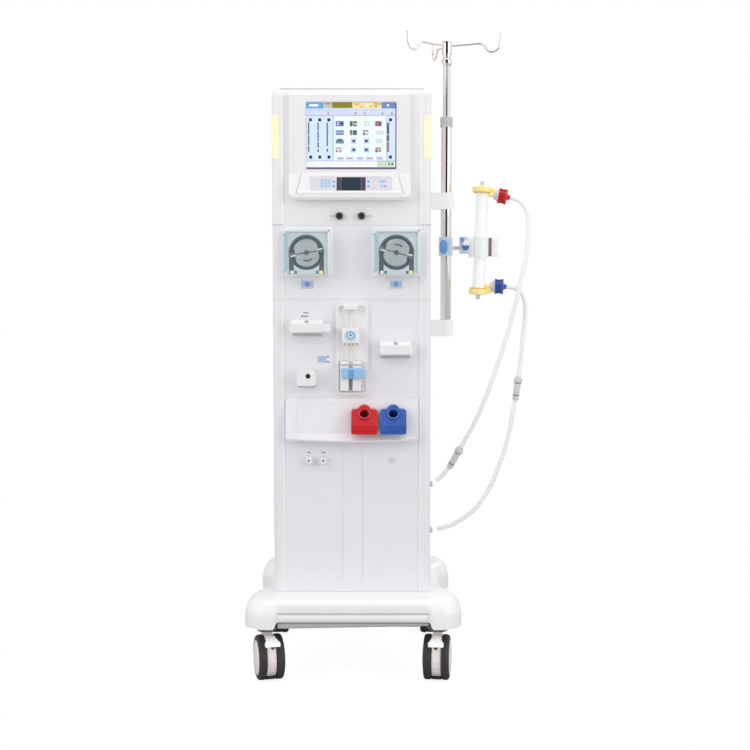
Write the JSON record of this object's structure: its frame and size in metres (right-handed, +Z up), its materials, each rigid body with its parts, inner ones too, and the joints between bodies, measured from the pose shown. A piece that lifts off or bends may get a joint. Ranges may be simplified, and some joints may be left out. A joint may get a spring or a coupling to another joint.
{
  "type": "dialysis machine",
  "caption": "Wheeled haemodialysis column with touch screen, roller pumps, syringe pump, line detectors, concentrate ports, infusion pole and a dialyser on its hoses.",
  "frame": {"origin": "on the floor, under the middle of the object's box without its cords", "axes": "+Z up; the screen and pumps face -Y; +X is the viewer's right, the pole's side"},
  "size_m": [0.7013, 0.53, 1.5562],
  "materials": {
    "white_plastic": "satin",
    "white_panel": "satin",
    "grey_white_plastic": "fine satin",
    "polished_steel": "polished",
    "painted_steel": "satin",
    "zinc": "cast, satin",
    "tyre": "matte",
    "screen_glass": "gloss",
    "lamp_yellow": "translucent",
    "dark_fitting": "satin",
    "pump_teal": "gloss",
    "rotor_grey": "satin",
    "clear_cover": "clear",
    "pale_blue_plastic": "gloss",
    "blue_plastic": "gloss",
    "red_plastic": "gloss",
    "cap_yellow": "gloss",
    "hose": "soft satin"
  },
  "bodies": {
    "machine": {"acid_port": "red_plastic", "air_detector": "white_plastic", "alarm_lamp_left": "lamp_yellow", "alarm_lamp_right": "lamp_yellow", "base_cover": "white_plastic", "bicarbonate_port": "blue_plastic", "chassis": "painted_steel", "connector_shelf": "grey_white_plastic", "head_cover": "white_plastic", "hose_blue": "hose", "hose_red": "hose", "hydraulic_unit": "grey_white_plastic", "left_side_cover": "white_panel", "line_clamp": "white_plastic", "lower_panel": "grey_white_plastic", "module_panel": "grey_white_plastic", "optical_detector": "white_plastic", "pole_bracket": "white_plastic", "pole_outer_tube": "polished_steel", "power_supply": "painted_steel", "pressure_ports": "dark_fitting", "pump_left_housing": "pump_teal", "pump_panel": "grey_white_plastic", "pump_right_housing": "pump_teal", "rear_cover": "white_panel", "right_side_cover": "white_panel", "sample_ports": "white_plastic", "screen_bezel": "white_plastic", "syringe_housing": "white_plastic", "touch_screen": "screen_glass"},
    "front_left_swivel": {"caster_front_left_fork": "zinc"},
    "front_left_wheels": {"caster_front_left_wheels": "tyre"},
    "front_left_brake": {"caster_front_left_brake": "white_plastic"},
    "front_right_swivel": {"caster_front_right_fork": "zinc"},
    "front_right_wheels": {"caster_front_right_wheels": "tyre"},
    "front_right_brake": {"caster_front_right_brake": "white_plastic"},
    "rear_left_swivel": {"caster_rear_left_fork": "zinc"},
    "rear_left_wheels": {"caster_rear_left_wheels": "tyre"},
    "rear_right_swivel": {"caster_rear_right_fork": "zinc"},
    "rear_right_wheels": {"caster_rear_right_wheels": "tyre"},
    "left_rotor": {"pump_left_rotor": "rotor_grey"},
    "left_pump_cover": {"pump_left_cover": "clear_cover"},
    "right_rotor": {"pump_right_rotor": "rotor_grey"},
    "right_pump_cover": {"pump_right_cover": "clear_cover"},
    "carriage": {"syringe_carriage": "white_plastic"},
    "release_button": {"syringe_release_button": "pale_blue_plastic"},
    "barrel_clamp": {"syringe_clamp": "pale_blue_plastic"},
    "air_door": {"air_detector_door": "white_plastic"},
    "line_door": {"line_clamp_door": "white_plastic"},
    "upper_pole": {"pole_inner_tube": "polished_steel"},
    "holder": {"pole_clamp": "white_plastic", "coupling_red": "clear_cover", "coupling_blue": "clear_cover"},
    "holder_knob": {"pole_clamp_knob": "blue_plastic"},
    "dialyser": {"dialyser_clip": "pale_blue_plastic", "dialyser_body": "clear_cover", "dialyser_cap_top": "cap_yellow", "dialyser_cap_bottom": "cap_yellow", "connector_red": "red_plastic", "connector_blue": "blue_plastic"}
  },
  "joints": [
    {"name": "front_left_swivel_turn", "type": "hinge", "parent": "machine", "child": "front_left_swivel", "pos_m": [-0.26066, -0.169, 0.12], "axis": [0, 0, 1], "continuous": true},
    {"name": "front_left_wheel_spin", "type": "hinge", "parent": "front_left_swivel", "child": "front_left_wheels", "pos_m": [-0.25195, -0.20393, 0.05432], "axis": [0.9703, 0.2419, 0], "continuous": true},
    {"name": "front_left_brake_press", "type": "hinge", "parent": "front_left_swivel", "child": "front_left_brake", "pos_m": [-0.25038, -0.21024, 0.1055], "axis": [0.9703, 0.2419, 0], "range_deg": [0, 10]},
    {"name": "front_right_swivel_turn", "type": "hinge", "parent": "machine", "child": "front_right_swivel", "pos_m": [0.15734, -0.169, 0.12], "axis": [0, 0, 1], "continuous": true},
    {"name": "front_right_wheel_spin", "type": "hinge", "parent": "front_right_swivel", "child": "front_right_wheels", "pos_m": [0.15358, -0.2048, 0.05432], "axis": [0.9945, -0.1045, 0], "continuous": true},
    {"name": "front_right_brake_press", "type": "hinge", "parent": "front_right_swivel", "child": "front_right_brake", "pos_m": [0.1529, -0.21127, 0.1055], "axis": [0.9945, -0.1045, 0], "range_deg": [0, 10]},
    {"name": "rear_left_swivel_turn", "type": "hinge", "parent": "machine", "child": "rear_left_swivel", "pos_m": [-0.26066, 0.174, 0.12], "axis": [0, 0, 1], "continuous": true},
    {"name": "rear_left_wheel_spin", "type": "hinge", "parent": "rear_left_swivel", "child": "rear_left_wheels", "pos_m": [-0.26066, 0.21, 0.05432], "axis": [1, 0, 0], "continuous": true},
    {"name": "rear_right_swivel_turn", "type": "hinge", "parent": "machine", "child": "rear_right_swivel", "pos_m": [0.15734, 0.174, 0.12], "axis": [0, 0, 1], "continuous": true},
    {"name": "rear_right_wheel_spin", "type": "hinge", "parent": "rear_right_swivel", "child": "rear_right_wheels", "pos_m": [0.15734, 0.21, 0.05432], "axis": [1, 0, 0], "continuous": true},
    {"name": "left_rotor_spin", "type": "hinge", "parent": "machine", "child": "left_rotor", "pos_m": [-0.15766, -0.197, 1.0265], "axis": [0, 1, 0], "continuous": true},
    {"name": "left_pump_cover_open", "type": "hinge", "parent": "machine", "child": "left_pump_cover", "pos_m": [-0.21366, -0.2034, 1.0265], "axis": [0, 0, -1], "range_deg": [0, 110]},
    {"name": "right_rotor_spin", "type": "hinge", "parent": "machine", "child": "right_rotor", "pos_m": [0.05434, -0.197, 1.0265], "axis": [0, 1, 0], "continuous": true},
    {"name": "right_pump_cover_open", "type": "hinge", "parent": "machine", "child": "right_pump_cover", "pos_m": [-0.00166, -0.2034, 1.0265], "axis": [0, 0, -1], "range_deg": [0, 110]},
    {"name": "carriage_slide", "type": "slide", "parent": "machine", "child": "carriage", "axis": [0, 0, 1], "range_m": [-0.04, 0.04]},
    {"name": "release_button_press", "type": "slide", "parent": "carriage", "child": "release_button", "axis": [0, 1, 0], "range_m": [0, 0.0025], "stiffness_N_per_m": 300},
    {"name": "barrel_clamp_pull", "type": "slide", "parent": "machine", "child": "barrel_clamp", "axis": [0, -1, 0], "range_m": [0, 0.01], "stiffness_N_per_m": 200},
    {"name": "air_door_open", "type": "hinge", "parent": "machine", "child": "air_door", "pos_m": [-0.19466, -0.2044, 0.85], "axis": [0, 0, -1], "range_deg": [0, 100]},
    {"name": "line_door_open", "type": "hinge", "parent": "machine", "child": "line_door", "pos_m": [0.09034, -0.2044, 0.797], "axis": [0, 0, 1], "range_deg": [0, 100]},
    {"name": "upper_pole_slide", "type": "slide", "parent": "machine", "child": "upper_pole", "axis": [0, 0, 1], "range_m": [-0.09, 0.25]},
    {"name": "holder_slide", "type": "slide", "parent": "machine", "child": "holder", "axis": [0, 0, 1], "range_m": [-0.155, 0.065], "deforming": ["hose_red", "hose_blue"]},
    {"name": "holder_knob_turn", "type": "hinge", "parent": "holder", "child": "holder_knob", "pos_m": [0.17284, -0.027, 1.0395], "axis": [0, 1, 0], "range_deg": [0, 180]},
    {"name": "dialyser_tilt", "type": "hinge", "parent": "holder", "child": "dialyser", "pos_m": [0.21434, -0.009, 1.037], "axis": [1, 0, 0], "range_deg": [-90, 90], "deforming": ["hose_red", "hose_blue"]}
  ]
}
